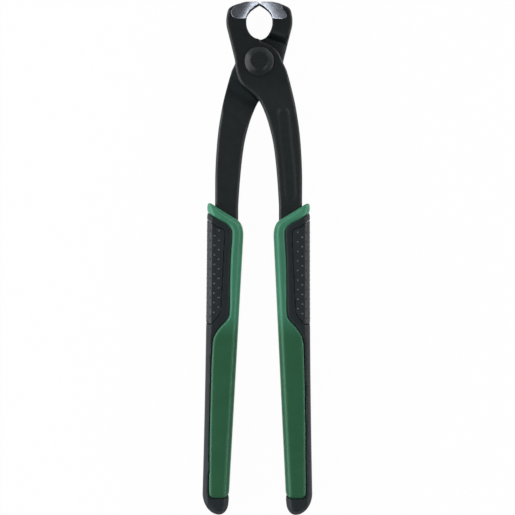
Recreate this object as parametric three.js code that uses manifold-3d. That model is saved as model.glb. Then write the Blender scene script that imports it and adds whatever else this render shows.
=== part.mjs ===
import * as THREE from "three";
import { mergeVertices } from "three/addons/utils/BufferGeometryUtils.js";
import Module from "manifold-3d";

const wasm = await Module();
wasm.setup();

// Concreter's nippers for twisting and cutting tie wire. Millimetres, lying on the back face:
// +Y runs from the pivot to the jaws, +X to the right seen from the front, +Z through the thickness.
// Outlines are drawn about the pivot, and heights are counted from the tool's middle plane.

// The whole tool
const TOOL_LENGTH = 280;
const GRIP_THICKNESS = 17;

// Clearances and cuts
const SEAT_GAP = 0.3;
const LAP_GAP = 0.3;
const EDGE_GAP = 0.3;
const OVERRUN = 40;

// Head: one jaw of each lever, the ring hole between them and the notch above the cutting edges
const JAW_REACH = 32.4;
const EDGE_REACH = 31.3;
const HEAD_WIDTH = 36.3;
const HEAD_THICKNESS = 12.4;
const WAIST_WIDTH = 26.6;
const WAIST_RISE = 0.7;
const HEAD_FOOT = 8.5;
const EDGE_BREAK = 1.1;
const RING_WIDTH = 14.3;
const RING_FLOOR = 12.2;
const RING_MIDDLE = 21.5;
const NOTCH_WIDTH = 1.8;
const PAD_RISE = 0.8;
const PAD_WIDTH = 15;
const PAD_FLOOR = 23;

// Halved joint: each boss covers half the thickness, and a ramp leads back to the full one
const BOSS_RADIUS = 11.1;
const CROTCH_REACH = 21.3;
const JAW_STEP_REACH = 16.9;
const JAW_STEP_TILT = 18.3;
const JAW_RAMP = 3;
const ARM_STEP_REACH = 15.2;
const ARM_STEP_TILT = 34.3;
const ARM_RAMP = 24;

// Pivot rivet
const RIVET_HEAD_WIDTH = 16.3;
const RIVET_FLAT_WIDTH = 9.2;
const RIVET_SHANK_WIDTH = 9;
const RIVET_RIM = 0.4;

// Arms, from the boss to the grips
const ARM_REACH = 79;
const ARM_SPREAD = 23.8;
const ARM_THICKNESS = 9.6;
const ARM_BREAK = 1;
const FALL_START = 12;
const FALL_END = 29;

// Oblong recess in the face of each arm
const PANEL_WIDTH = 6.6;
const PANEL_DEPTH = 0.5;
const PANEL_DRAFT = 0.8;
const PANEL_START = 28.4;
const PANEL_COVER = 5.8;

// Tangs inside the grips, counted from the arms' ends and from the grips' ends
const TANG_SHOULDER = 18;
const TANG_TAPER = 15;
const TANG_COVER = 21.6;
const TANG_WIDTH = 8;
const TANG_THICKNESS = 6;

// Grips: widths are counted out from the centreline
const COLLAR_COVER = 9.7;
const GRIP_INNER_TOP = 7.9;
const GRIP_INNER_END = 15.7;
const GRIP_OUTER_TOP = 28.1;
const GRIP_OUTER_END = 30.3;
const GRIP_TIP = 20.8;
const END_ROUND_OUTER = 12.7;
const END_ROUND_INNER = 7;
const COLLAR_TILT = 31.5;
const COLLAR_ROUND = 7;
const COLLAR_LEAD = 4.1;
const COLLAR_CORNER = 2.6;
const FACET_WIDTH = 2.45;
const FACET_DEPTH = 2.8;
const PALM_ROUND = 5.7;
const PALM_MARGIN = 0.15;
const SKIN = 2.2;
const CAP_LENGTH = 9.2;
const SHELL_CORNER = 2.7;

// Distances down from the pivot
const PANEL_END = ARM_REACH - PANEL_COVER;
const GRIP_TOP = ARM_REACH + COLLAR_COVER;
const GRIP_END = TOOL_LENGTH - JAW_REACH;
const SHELL_FLOOR = GRIP_END - CAP_LENGTH;
const TANG_START = ARM_REACH + TANG_SHOULDER + TANG_TAPER;
const TANG_END = GRIP_END - TANG_COVER;
const COLLAR_SLOPE = Math.tan(THREE.MathUtils.degToRad(COLLAR_TILT));
const MIDDLE_HEIGHT = GRIP_THICKNESS / 2;

// Shares of half the head's width and of the jaws' reach
const crownShares = [
  [0.39, 1], [0.65, 0.967], [0.8, 0.936], [0.905, 0.9], [0.948, 0.862], [0.985, 0.77],
  [1, 0.69], [0.99, 0.6], [0.958, 0.528],
];
// Shares of half the ring hole's width, and of the way from its middle to the cutting edges
const ringShoulderShares = [[1, 0], [0.965, 0.33], [0.72, 0.62], [0.33, 0.85], [0, 1]];
// The ground pads' rims: shares of their width, and of the way from their floor to the jaws' top
const frontRimShares = [
  [0.7, 0.87], [0.86, 0.76], [0.967, 0.617], [1.035, 0.383], [0.993, 0.18], [0.907, 0.05], [0.747, 0.01],
  [0.487, 0.03],
];
const rearRimShares = [
  [0.85, 0.617], [0.953, 0.383], [1, 0.18], [0.933, 0.05], [0.747, 0], [0.487, 0.03],
];
// Direction from the pivot in degrees, and share of the boss's radius
const bossUpperShares = [[-10, 1.27], [4, 1.115], [20, 1.05], [40, 1], [61, 0.962], [77, 0.94], [85, 1]];
const bossLowerShares = [[195, 1.2], [208, 1.25], [224, 1.375], [238, 1.46], [254, 1.56]];
// Arm edges: shares of the arm's spread and of its reach
const armOuterShares = [
  [0.631, 0.061], [0.698, 0.13], [0.77, 0.214], [0.833, 0.296], [0.883, 0.38], [0.925, 0.463],
  [0.955, 0.546], [0.976, 0.629], [0.991, 0.711], [1, 0.8], [1, 0.9], [1, 1],
];
const armInnerShares = [
  [0.114, 0.338], [0.215, 0.4215], [0.32, 0.5456], [0.381, 0.671], [0.433, 0.837], [0.467, 1],
];
// The recess's middle line: shares of the way across the arm, and of the recess's own length
const panelShares = [[0.575, 0], [0.525, 0.12], [0.47, 0.4], [0.49, 0.7], [0.518, 1]];
// Seams of the grip: shares of the way across it, and of the way from its collar to its end
const blackSeamShares = [
  [1.07, -0.05], [0.892, -0.03], [0.72, -0.0157], [0.51, -0.002], [0.367, 0.0157], [0.32, 0.04],
  [0.336, 0.125], [0.323, 0.222], [0.303, 0.298], [0.356, 0.327], [0.575, 0.3543], [0.724, 0.3795],
  [0.789, 0.405], [0.808, 0.468], [0.809, 0.6035], [0.799, 0.738], [0.778, 0.877],
];
const padTopShares = [[1.06, -0.02], [0.862, -0.002], [0.741, 0.0113], [0.57, 0.0195], [0.514, 0.0275]];
const padSideShares = [[0.53, 0.1215], [0.548, 0.215], [0.563, 0.298]];
const padEndShares = [[0.585, 0.309], [0.826, 0.3455], [1.06, 0.339]];
// The shell's inner corner at its floor, as shares of the corner's size
const shellNickShares = [[1, 0], [0.4, 0.3], [0, 0.8], [-1, 1.3]];

// Steps
const CURVE_STEPS = 5;
const FRONT_CROWN_STEPS = 3;
const EDGE_SAMPLES = 240;
const ROUND_STEPS = 6;
const BREAK_STEPS = 2;
const ARM_STATIONS = 26;
const ARM_STATION_POWER = 1.5;
const POCKET_STATIONS = 5;
const PALM_STATIONS = 9;
const TOP_SAMPLES = 4;
const RIVET_FACETS = 48;

const blackSteel = new THREE.MeshStandardMaterial({ color: 0x25292a, roughness: 0.48, metalness: 0.75 });
const rivetSteel = new THREE.MeshStandardMaterial({ color: 0x2a2e2f, roughness: 0.42, metalness: 0.8 });
const greenPlastic = new THREE.MeshStandardMaterial({ color: 0x2d5a40, roughness: 0.5, metalness: 0 });
const blackRubber = new THREE.MeshStandardMaterial({ color: 0x2a2e30, roughness: 0.72, metalness: 0 });
const padRubber = new THREE.MeshStandardMaterial({ color: 0x33383a, roughness: 0.85, metalness: 0 });

const at = (x, y) => new THREE.Vector2(x, y);
const turn = THREE.MathUtils.degToRad;
const between = THREE.MathUtils.lerp;
const polar = (degrees, reach) => at(reach * Math.cos(turn(degrees)), reach * Math.sin(turn(degrees)));
const mirrored = (point) => at(-point.x, point.y);
const smooth = (points, steps = CURVE_STEPS) =>
  new THREE.SplineCurve(points).getPoints(steps * (points.length - 1));

// A closed geometry as a solid whose faces point out, whichever way its rings ran.
function solid(geometry) {
  geometry.deleteAttribute("normal");
  geometry.deleteAttribute("uv");
  const merged = mergeVertices(geometry);
  const corners = merged.attributes.position.array;
  const faces = new Uint32Array(merged.index.array);
  const made = new wasm.Manifold(new wasm.Mesh({ numProp: 3, vertProperties: corners, triVerts: faces }));
  if (made.volume() > 0) return made;
  const turned = faces.reverse();
  return new wasm.Manifold(new wasm.Mesh({ numProp: 3, vertProperties: corners, triVerts: turned }));
}

function geometryOf(made) {
  const found = made.getMesh();
  const geometry = new THREE.BufferGeometry();
  geometry.setAttribute("position", new THREE.BufferAttribute(found.vertProperties, 3));
  geometry.setIndex(new THREE.BufferAttribute(found.triVerts, 1));
  geometry.computeVertexNormals();
  return geometry;
}

// An outline raised from one height to another.
function prism(points, low, high) {
  const geometry = new THREE.ExtrudeGeometry(new THREE.Shape(points), {
    depth: high - low,
    bevelEnabled: false,
  });
  return solid(geometry.translate(0, 0, low));
}

const through = (points) => prism(points, -OVERRUN, OVERRUN);

// An outline raised to both sides of the middle plane, with its edges broken on both faces.
function brokenSlab(points, halfThickness, width, depth, steps) {
  const geometry = new THREE.ExtrudeGeometry(new THREE.Shape(points), {
    depth: 2 * (halfThickness - depth),
    bevelEnabled: true,
    bevelSize: width,
    bevelOffset: -width,
    bevelThickness: depth,
    bevelSegments: steps,
  });
  return solid(geometry.translate(0, 0, depth - halfThickness));
}

// A skin through rings of points, each ring convex and all alike in number, closed at both ends.
function loft(rings) {
  const count = rings[0].length;
  const faces = [];
  for (let r = 0; r + 1 < rings.length; r++) {
    for (let i = 0; i < count; i++) {
      const a = r * count + i;
      const b = r * count + ((i + 1) % count);
      faces.push(a, b, b + count, a, b + count, a + count);
    }
  }
  const last = (rings.length - 1) * count;
  for (let i = 1; i + 1 < count; i++) {
    faces.push(0, i + 1, i, last, last + i, last + i + 1);
  }
  const geometry = new THREE.BufferGeometry().setFromPoints(rings.flat());
  geometry.setIndex(faces);
  return solid(geometry);
}

// An outline that runs anticlockwise, moved outwards by a distance, or inwards if that is negative.
function grown(points, distance) {
  const normal = (from, to) => at(to.y - from.y, from.x - to.x).normalize();
  return points.map((point, i) => {
    const before = normal(points.at(i - 1), point);
    const after = normal(point, points[(i + 1) % points.length]);
    const sum = before.add(after);
    return point.clone().addScaledVector(sum, (2 * distance) / sum.lengthSq());
  });
}

// The place across a curve at a given height, for a curve that runs steadily down.
function readAcross(points) {
  const found = new THREE.SplineCurve(points).getPoints(EDGE_SAMPLES);
  return (y) => {
    const reached = found.findIndex((point) => point.y <= y);
    const next = reached < 0 ? found.length - 1 : Math.max(1, reached);
    const share = (found[next - 1].y - y) / (found[next - 1].y - found[next].y);
    return between(found[next - 1].x, found[next].x, share);
  };
}

// Equal steps from one value to another, both ends included.
const steps = (from, to, count) => Array.from({ length: count + 1 }, (_, i) => between(from, to, i / count));

// Grip edges, by the distance down from the pivot

const GRIP_SIDE = GRIP_END - END_ROUND_INNER - GRIP_TOP;
const gripInner = (reach) => between(GRIP_INNER_TOP, GRIP_INNER_END, (reach - GRIP_TOP) / GRIP_SIDE);

// The palm side bows outwards towards the end.
function gripOuter(reach) {
  const share = Math.max(0, reach - ARM_REACH) / (GRIP_END - ARM_REACH);
  return between(GRIP_OUTER_TOP, GRIP_OUTER_END, share * share);
}

const gripMiddle = (reach) => (gripInner(reach) + gripOuter(reach)) / 2;

// Lever: the arm and its tang

const waist = at(WAIST_WIDTH / 2, WAIST_RISE);
const bossLower = bossLowerShares.map(([degrees, share]) => polar(degrees, share * BOSS_RADIUS));
const armInner = armInnerShares.map(([x, y]) => at(x * ARM_SPREAD, -y * ARM_REACH));
const armOuter = armOuterShares.map(([x, y]) => at(x * ARM_SPREAD, -y * ARM_REACH));
const innerEdge = readAcross([at(-waist.x, waist.y), ...bossLower, at(0, -CROTCH_REACH), ...armInner]);
const outerEdge = readAcross([waist, ...armOuter]);

// One section across a lever: a slab with broken edges, grown all round by a clearance.
function leverSection({ y, inner, outer, front, back, innerBreak, outerBreak }, grow) {
  const left = inner - grow;
  const right = outer + grow;
  const top = front + grow;
  const bottom = -back - grow;
  return [
    [left + innerBreak, top],
    [left, top - ARM_BREAK],
    [left, bottom + ARM_BREAK],
    [left + innerBreak, bottom],
    [right - outerBreak, bottom],
    [right, bottom + ARM_BREAK],
    [right, top - ARM_BREAK],
    [right - outerBreak, top],
  ].map(([x, z]) => new THREE.Vector3(x, y, z));
}

// A section of the arm. Its front falls from the boss's height to the arm's own below the pivot,
// and the broken edges keep their width where the edges lean.
function armSection(y, grow) {
  const fall = THREE.MathUtils.smoothstep(-y, FALL_START, FALL_END);
  const higher = y + ARM_BREAK;
  const lean = (edge) => Math.hypot(1, (edge(higher) - edge(y)) / ARM_BREAK);
  return leverSection({
    y,
    inner: innerEdge(y),
    outer: outerEdge(y),
    front: between(HEAD_THICKNESS / 2, ARM_THICKNESS / 2, fall),
    back: ARM_THICKNESS / 2,
    innerBreak: ARM_BREAK * lean(innerEdge),
    outerBreak: ARM_BREAK * lean(outerEdge),
  }, grow);
}

// A section of what the grip hides, centred on a place across the tool.
function hiddenSection(reach, middle, width, thickness, grow) {
  return leverSection({
    y: -reach,
    inner: middle - width / 2,
    outer: middle + width / 2,
    front: thickness / 2,
    back: thickness / 2,
    innerBreak: ARM_BREAK,
    outerBreak: ARM_BREAK,
  }, grow);
}

// The arm and its tang, from a distance below the pivot down into the grip.
function armSolid(start, stations, grow) {
  const shown = steps(0, 1, stations).map((share) =>
    armSection(-between(start, ARM_REACH, share ** ARM_STATION_POWER), grow));
  const width = outerEdge(-ARM_REACH) - innerEdge(-ARM_REACH);
  const middle = innerEdge(-ARM_REACH) + width / 2;
  const hidden = [
    hiddenSection(ARM_REACH + TANG_SHOULDER, middle, width, ARM_THICKNESS, grow),
    hiddenSection(TANG_START, gripMiddle(TANG_START), TANG_WIDTH, TANG_THICKNESS, grow),
    hiddenSection(TANG_END + grow, gripMiddle(TANG_END), TANG_WIDTH, TANG_THICKNESS, grow),
  ];
  return loft([...shown, ...hidden]);
}

// Lever: the head

const crown = smooth(crownShares.map(([x, y]) => at((-x * HEAD_WIDTH) / 2, y * JAW_REACH)));

// One jaw and the boss, whose own edge runs up to the floor of the ring hole.
function headSolid() {
  const bossUpper = bossUpperShares.map(([degrees, share]) => polar(degrees, share * BOSS_RADIUS));
  const outline = [
    at(outerEdge(-HEAD_FOOT), -HEAD_FOOT),
    armOuter[0],
    ...smooth([...bossUpper, at(0, RING_FLOOR)]),
    at(-EDGE_GAP / 2, RING_MIDDLE),
    at(-EDGE_GAP / 2, JAW_REACH),
    ...crown,
    ...steps(waist.y, -HEAD_FOOT, TOP_SAMPLES).map((y) => at(innerEdge(y), y)),
  ];
  return brokenSlab(outline, HEAD_THICKNESS / 2, EDGE_BREAK, EDGE_BREAK, BREAK_STEPS);
}

// A ground pad stands proud on each face of the jaw and reaches the cutting edge. Its rim follows
// the jaw's crown for some steps, and then leaves it.
function groundPadSolid(shares, crownSteps, side) {
  const rim = shares.map(([x, y]) => at(-x * PAD_WIDTH, between(PAD_FLOOR, JAW_REACH, y)));
  const outline = [
    at(-EDGE_GAP / 2, JAW_REACH),
    ...crown.slice(0, crownSteps),
    ...smooth([crown[crownSteps], ...rim]),
    at(-EDGE_GAP / 2, PAD_FLOOR),
  ];
  const high = side * (HEAD_THICKNESS / 2 + PAD_RISE);
  return prism(outline, Math.min(0, high), Math.max(0, high));
}

// The ring hole for the wire and the notch above the cutting edges, shared by both jaws.
function ringSolid() {
  const low = RING_MIDDLE - RING_FLOOR;
  const bowl = new THREE.EllipseCurve(0, RING_MIDDLE, RING_WIDTH / 2, low, -Math.PI / 2, 0);
  const shoulder = ringShoulderShares.map(([x, y]) =>
    at((x * RING_WIDTH) / 2, between(RING_MIDDLE, EDGE_REACH, y)));
  const right = [...bowl.getPoints(2 * ROUND_STEPS).slice(0, -1), ...smooth(shoulder)];
  const left = right.slice(1, -1).reverse().map(mirrored);
  return through([...right, ...left]);
}

function notchSolid() {
  const outline = [
    at(0, EDGE_REACH),
    at(NOTCH_WIDTH / 2, JAW_REACH),
    at(NOTCH_WIDTH / 2, JAW_REACH + OVERRUN),
    at(-NOTCH_WIDTH / 2, JAW_REACH + OVERRUN),
    at(-NOTCH_WIDTH / 2, JAW_REACH),
  ];
  return through(outline);
}

// What the other lever's boss takes from the back half of this one: its own outline and a clearance.
function bossReliefSolid() {
  const edge = bossLowerShares.map(([degrees, share]) =>
    mirrored(polar(degrees, share * BOSS_RADIUS + SEAT_GAP)));
  const outline = [
    ...smooth([at(waist.x + SEAT_GAP, waist.y), ...edge, at(0, -CROTCH_REACH - 2 * SEAT_GAP)]),
    at(-OVERRUN, -CROTCH_REACH - OVERRUN),
    at(-OVERRUN, waist.y),
  ];
  return prism(outline, -OVERRUN, LAP_GAP / 2);
}

// The swept room for the other boss: a trough across the back half, with a ramp up to the jaw and
// one up to the arm. Each end is a line square to its own direction from the pivot.
function troughSolid() {
  const jawWay = polar(90 + JAW_STEP_TILT, 1);
  const armWay = polar(ARM_STEP_TILT - 90, 1);
  const end = (way, reach, side) =>
    way.clone().multiplyScalar(reach).addScaledVector(at(-way.y, way.x), side * OVERRUN);
  const ring = (height, jawReach, armReach) => [
    end(jawWay, jawReach, 1),
    end(armWay, armReach, -1),
    end(armWay, armReach, 1),
    end(jawWay, jawReach, -1),
  ].map((point) => new THREE.Vector3(point.x, point.y, height));
  const jawTop = JAW_STEP_REACH;
  const armTop = ARM_STEP_REACH + ARM_RAMP;
  return loft([
    ring(LAP_GAP / 2, JAW_STEP_REACH - JAW_RAMP, ARM_STEP_REACH),
    ring(-HEAD_THICKNESS / 2, jawTop, armTop),
    ring(-OVERRUN, jawTop, armTop),
  ]);
}

// The oblong recess follows the arm, with round ends and sloping sides.
function panelSolid() {
  const line = new THREE.SplineCurve(panelShares.map(([across, along]) => {
    const y = -between(PANEL_START, PANEL_END, along);
    return at(between(innerEdge(y), outerEdge(y), across), y);
  }));
  const side = (share, way) => {
    const ahead = line.getTangent(share);
    return line.getPoint(share).add(at(-ahead.y, ahead.x).multiplyScalar((way * PANEL_WIDTH) / 2));
  };
  const cap = (share) => {
    const middle = line.getPoint(share);
    const start = side(share, share * 2 - 1).sub(middle);
    return steps(0, Math.PI, ROUND_STEPS).slice(1, -1).map((angle) =>
      middle.clone().add(start.clone().rotateAround(at(0, 0), -angle)));
  };
  const shares = steps(0, 1, 2 * ROUND_STEPS);
  const outline = [
    ...shares.map((share) => side(share, 1)),
    ...cap(1),
    ...shares.reverse().map((share) => side(share, -1)),
    ...cap(0),
  ];
  const room = ARM_THICKNESS / 2 - PANEL_DEPTH;
  const cutter = brokenSlab(outline, OVERRUN / 2, PANEL_DRAFT, PANEL_DEPTH, 1);
  return cutter.translate([0, 0, room + OVERRUN / 2]);
}

function roundBar(radius, length) {
  return new THREE.CylinderGeometry(radius, radius, length, RIVET_FACETS).rotateX(Math.PI / 2);
}

// The front lever: left jaw, boss in the front half, right arm and tang. Turned half round about
// the tool's long axis, the same forging is the back lever.
function leverGeometry() {
  const forging = headSolid()
    .add(groundPadSolid(frontRimShares, FRONT_CROWN_STEPS, 1))
    .add(groundPadSolid(rearRimShares, CURVE_STEPS, -1))
    .add(armSolid(HEAD_FOOT - ARM_BREAK, ARM_STATIONS, 0));
  const bore = solid(roundBar(RIVET_SHANK_WIDTH / 2 + SEAT_GAP, OVERRUN));
  const cuts = [ringSolid(), notchSolid(), bossReliefSolid(), troughSolid(), panelSolid(), bore];
  return geometryOf(cuts.reduce((made, cut) => made.subtract(cut), forging));
}

// Pivot rivet: a plain shank between two heads that are flat-topped cones.
function rivetGeometry() {
  const under = HEAD_THICKNESS / 2 + SEAT_GAP;
  const shank = RIVET_SHANK_WIDTH / 2;
  const flat = RIVET_FLAT_WIDTH / 2;
  const rim = RIVET_HEAD_WIDTH / 2;
  const upper = [at(shank, under), at(rim, under), at(rim, under + RIVET_RIM), at(flat, MIDDLE_HEIGHT)];
  const lower = upper.map((point) => at(point.x, -point.y)).reverse();
  const profile = [at(0, -MIDDLE_HEIGHT), ...lower, ...upper, at(0, MIDDLE_HEIGHT)];
  return geometryOf(solid(new THREE.LatheGeometry(profile, RIVET_FACETS).rotateX(Math.PI / 2)));
}

// Grip: the whole outside of the right-hand one, or the same moved inwards

function gripOutline(inset) {
  const inner = (reach) => gripInner(reach) + inset;
  const outer = (reach) => gripOuter(reach) - inset + PALM_MARGIN;
  const start = at(inner(GRIP_TOP), -GRIP_TOP - inset);
  const collar = (x) => at(x, start.y + (x - start.x) * COLLAR_SLOPE);
  const foot = GRIP_TOP + inset + COLLAR_ROUND;
  const innerEnd = GRIP_END - END_ROUND_INNER;
  const outerEnd = GRIP_END - END_ROUND_OUTER;
  const throat = new THREE.QuadraticBezierCurve(
    collar(start.x + COLLAR_LEAD), start, at(inner(foot), -foot),
  );
  const fingerEnd = new THREE.EllipseCurve(
    GRIP_TIP, -innerEnd, GRIP_TIP - inner(innerEnd), END_ROUND_INNER - inset, Math.PI, 1.5 * Math.PI,
  );
  const palmEnd = new THREE.EllipseCurve(
    GRIP_TIP, -outerEnd, outer(outerEnd) - GRIP_TIP, END_ROUND_OUTER - inset, 1.5 * Math.PI, 2 * Math.PI,
  );
  const shoulder = collar(outer(ARM_REACH));
  const palm = steps(outerEnd, -shoulder.y, PALM_STATIONS).slice(0, -1);
  return [
    shoulder,
    ...throat.getPoints(ROUND_STEPS),
    ...fingerEnd.getPoints(ROUND_STEPS),
    ...palmEnd.getPoints(2 * ROUND_STEPS).slice(1, -1),
    ...palm.map((reach) => at(outer(reach), -reach)),
  ];
}

// What rounds off the collar's sharp corner on the palm side.
function collarCornerSolid() {
  const top = at(gripOuter(ARM_REACH), (gripOuter(ARM_REACH) - GRIP_INNER_TOP) * COLLAR_SLOPE - GRIP_TOP);
  const inward = at(-COLLAR_CORNER, -COLLAR_CORNER * COLLAR_SLOPE);
  const round = new THREE.QuadraticBezierCurve(
    top.clone().sub(at(0, COLLAR_CORNER)), top, top.clone().add(inward),
  );
  const line = round.getPoints(ROUND_STEPS);
  const beyond = line[0].x + OVERRUN;
  return through([...line, at(line.at(-1).x, 0), at(beyond, 0), at(beyond, line[0].y)]);
}

// Sections that run straight from the centreline out to the rounded palm side.
function palmSolid(inset) {
  const half = GRIP_THICKNESS / 2 - inset;
  const round = PALM_ROUND - inset;
  const quarter = steps(0, Math.PI / 2, ROUND_STEPS);
  const section = (reach) => {
    const x = gripOuter(reach) - inset - round;
    const upper = quarter.map((angle) =>
      at(x + round * Math.cos(angle), half - round + round * Math.sin(angle)));
    const lower = upper.map((point) => at(point.x, -point.y)).reverse();
    return [at(0, -half), ...lower, ...upper, at(0, half)]
      .map((point) => new THREE.Vector3(point.x, -reach, point.y));
  };
  return loft(steps(ARM_REACH - COLLAR_ROUND, GRIP_END + COLLAR_ROUND, PALM_STATIONS).map(section));
}

// A flat-faced bar whose finger side, collar and end carry a facet, rounded along the palm. Moved
// inwards, its facets narrow as those of an evenly thinned bar do.
function gripSolid(inset) {
  const half = GRIP_THICKNESS / 2 - inset;
  const narrowed = inset * (2 - Math.SQRT2);
  const bar = brokenSlab(gripOutline(inset), half, FACET_WIDTH - narrowed, FACET_DEPTH - narrowed, 1);
  return bar.intersect(palmSolid(inset)).subtract(collarCornerSolid());
}

// Grip: its seams

const seamPoint = ([across, along]) => {
  const reach = between(GRIP_TOP, GRIP_END, along);
  return at(between(gripInner(reach), gripOuter(reach), across), -reach);
};

// Everything that is black: the palm side below the collar, and the end of the grip.
function blackOutline() {
  const seam = smooth(blackSeamShares.map(seamPoint));
  const side = seam.at(-1).x;
  const corner = new THREE.QuadraticBezierCurve(
    at(side, SHELL_CORNER - SHELL_FLOOR), at(side, -SHELL_FLOOR), at(side - SHELL_CORNER, -SHELL_FLOOR),
  );
  const nick = shellNickShares.map(([x, y]) =>
    at(gripInner(SHELL_FLOOR) + x * SHELL_CORNER, y * SHELL_CORNER - SHELL_FLOOR));
  return [
    at(OVERRUN, seam[0].y),
    ...seam,
    ...corner.getPoints(ROUND_STEPS),
    ...smooth(nick),
    at(0, nick.at(-1).y),
    at(0, -SHELL_FLOOR - OVERRUN),
    at(OVERRUN, -SHELL_FLOOR - OVERRUN),
  ];
}

// The textured pad, let into the black.
function padOutline() {
  const top = padTopShares.map(seamPoint);
  const end = padEndShares.map(seamPoint);
  return [
    at(OVERRUN, top[0].y),
    ...smooth(top),
    ...smooth(padSideShares.map(seamPoint)),
    ...end,
    at(OVERRUN, end.at(-1).y),
  ];
}

// The hard shell holds the tang, and is sunk by a skin's thickness under everything black.
function shellGeometry() {
  const sunk = through(blackOutline()).subtract(gripSolid(SKIN));
  const pocket = armSolid(ARM_REACH - COLLAR_ROUND * 2, POCKET_STATIONS, SEAT_GAP);
  return geometryOf(gripSolid(0).subtract(sunk).subtract(pocket));
}

// A soft skin over the sunk part of the shell, inside an outline.
function skinSolid(outline) {
  return gripSolid(0).intersect(through(outline)).subtract(gripSolid(SKIN - SEAT_GAP));
}

function coverGeometry() {
  const room = through(grown(padOutline(), SEAT_GAP));
  return geometryOf(skinSolid(grown(blackOutline(), -SEAT_GAP)).subtract(room));
}

function padGeometry() {
  return geometryOf(skinSolid(padOutline()));
}

// Assembly: the rivet joins two equal halves, the second turned half round about the long axis

function named(name, geometry, material) {
  const mesh = new THREE.Mesh(geometry, material);
  mesh.name = name;
  return mesh;
}

const lever = leverGeometry();
const shell = shellGeometry();
const cover = coverGeometry();
const pad = padGeometry();

function half(leverName, side) {
  return new THREE.Group().add(
    named(leverName, lever, blackSteel),
    named(`${side}_grip_shell`, shell, greenPlastic),
    named(`${side}_grip_cover`, cover, blackRubber),
    named(`${side}_grip_pad`, pad, padRubber),
  );
}

const front = half("front_lever", "right");
const back = half("back_lever", "left");
back.rotation.y = Math.PI;

const tool = new THREE.Group();
tool.position.z = MIDDLE_HEIGHT;
tool.add(front, back, named("pivot_rivet", rivetGeometry(), rivetSteel));

export default new THREE.Group().add(tool);
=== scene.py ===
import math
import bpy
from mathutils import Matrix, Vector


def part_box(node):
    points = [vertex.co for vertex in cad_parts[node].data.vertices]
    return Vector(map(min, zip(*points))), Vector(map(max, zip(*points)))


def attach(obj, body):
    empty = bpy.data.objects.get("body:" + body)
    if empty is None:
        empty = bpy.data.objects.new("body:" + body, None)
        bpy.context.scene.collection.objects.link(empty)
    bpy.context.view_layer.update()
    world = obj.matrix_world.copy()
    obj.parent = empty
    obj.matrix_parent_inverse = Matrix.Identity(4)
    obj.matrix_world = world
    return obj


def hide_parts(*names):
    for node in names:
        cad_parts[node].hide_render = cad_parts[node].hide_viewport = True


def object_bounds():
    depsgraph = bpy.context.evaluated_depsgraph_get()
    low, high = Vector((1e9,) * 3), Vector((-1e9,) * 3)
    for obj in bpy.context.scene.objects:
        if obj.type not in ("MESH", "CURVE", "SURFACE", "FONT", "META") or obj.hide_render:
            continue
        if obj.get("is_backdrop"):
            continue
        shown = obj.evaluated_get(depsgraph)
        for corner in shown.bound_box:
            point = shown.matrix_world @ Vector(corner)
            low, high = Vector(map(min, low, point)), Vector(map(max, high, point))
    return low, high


bl_info = {
    "name": "Rebar tying pliers",
    "version": (1, 0, 0),
    "blender": (4, 5, 0),
    "location": "3D View > Sidebar > Nippers",
    "description": "Dresses a packed pair of rebar tying pliers and lays it in a plain studio",
    "category": "Object",
}

import bmesh
import bpy
from bpy.props import FloatProperty, FloatVectorProperty, IntProperty, PointerProperty
from bpy.types import Operator, Panel, PropertyGroup
from mathutils import Matrix, Vector, geometry
from mathutils.bvhtree import BVHTree
from mathutils.kdtree import KDTree

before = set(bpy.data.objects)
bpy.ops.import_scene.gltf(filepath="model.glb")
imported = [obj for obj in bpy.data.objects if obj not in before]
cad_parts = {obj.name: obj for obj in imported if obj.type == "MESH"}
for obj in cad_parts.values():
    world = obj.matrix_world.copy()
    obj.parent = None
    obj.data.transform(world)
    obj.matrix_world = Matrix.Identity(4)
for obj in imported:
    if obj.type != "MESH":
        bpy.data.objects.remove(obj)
CAD_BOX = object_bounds()

# Metres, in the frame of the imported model: the tool lies flat and is the same turned half round
# about its long axis, which runs through the middle of its thickness.
MM = 0.001
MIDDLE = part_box("pivot_rivet")[1].z / 2
HALF_TURN = Matrix.Rotation(math.pi, 3, "Y")

# The front and the back half of each twin pair, and the body each one moves with
TWINS = {
    "lever": (("front_lever", "front_half"), ("back_lever", "back_half")),
    "grip_shell": (("right_grip_shell", "front_half"), ("left_grip_shell", "back_half")),
    "grip_cover": (("right_grip_cover", "front_half"), ("left_grip_cover", "back_half")),
    "grip_pad": (("right_grip_pad", "front_half"), ("left_grip_pad", "back_half")),
}

# Where the jaw's forged face lies and the ground face starts, from the middle plane
HEAD_FACE = 6.25 * MM
# The wall of the ring hole beside the ground faces, from its widest place to the cutting edge, in
# millimetres
RING_WALL = [(7.15, 21.5), (6.9, 24.73), (5.15, 27.58), (2.36, 29.83), (0, 31.3)]
CUTTING_EDGE = Vector((0, 31.3 * MM))
# A jaw's ground face is hollow. Out on it is mostly across the tool and a little towards the jaws'
# end, counted from a place along the tool: how far out the lean starts, over how much of the way
# it grows, and how much it grows per metre.
HOLLOW_WAY = (0.88, 0.47)
HOLLOW_BASE = 29.6 * MM
HOLLOW_START = 10.2 * MM
HOLLOW_REACH = 6.3 * MM
HOLLOW_GAIN = 49.0
# The right jaw was ground with a wider sweep: scale and shift of the way out, share of the gain
WIDE_SCALE = 0.5
WIDE_SHIFT = 1.7 * MM
WIDE_GAIN = 1.93
# Between which places along the grips the hard shell is painted lighter, a painted highlight, and
# lighter still in the collar
PAINTED_LIGHT_SPAN = (-152 * MM, -136 * MM)
PAINTED_LIGHT_COLLAR = (-92 * MM, -84 * MM)
# Nearly all values of a noise lie in this span
NOISE_SPAN = {"From Min": 0.3, "From Max": 0.7}
# Corners of a mesh that are nearer to each other than this are one
WELD = 0.001 * MM
# How much of a normal points up or down: less than the first on a wall, and more than the second
# on a level face
WALL = 0.2
LEVEL = 0.8


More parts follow.
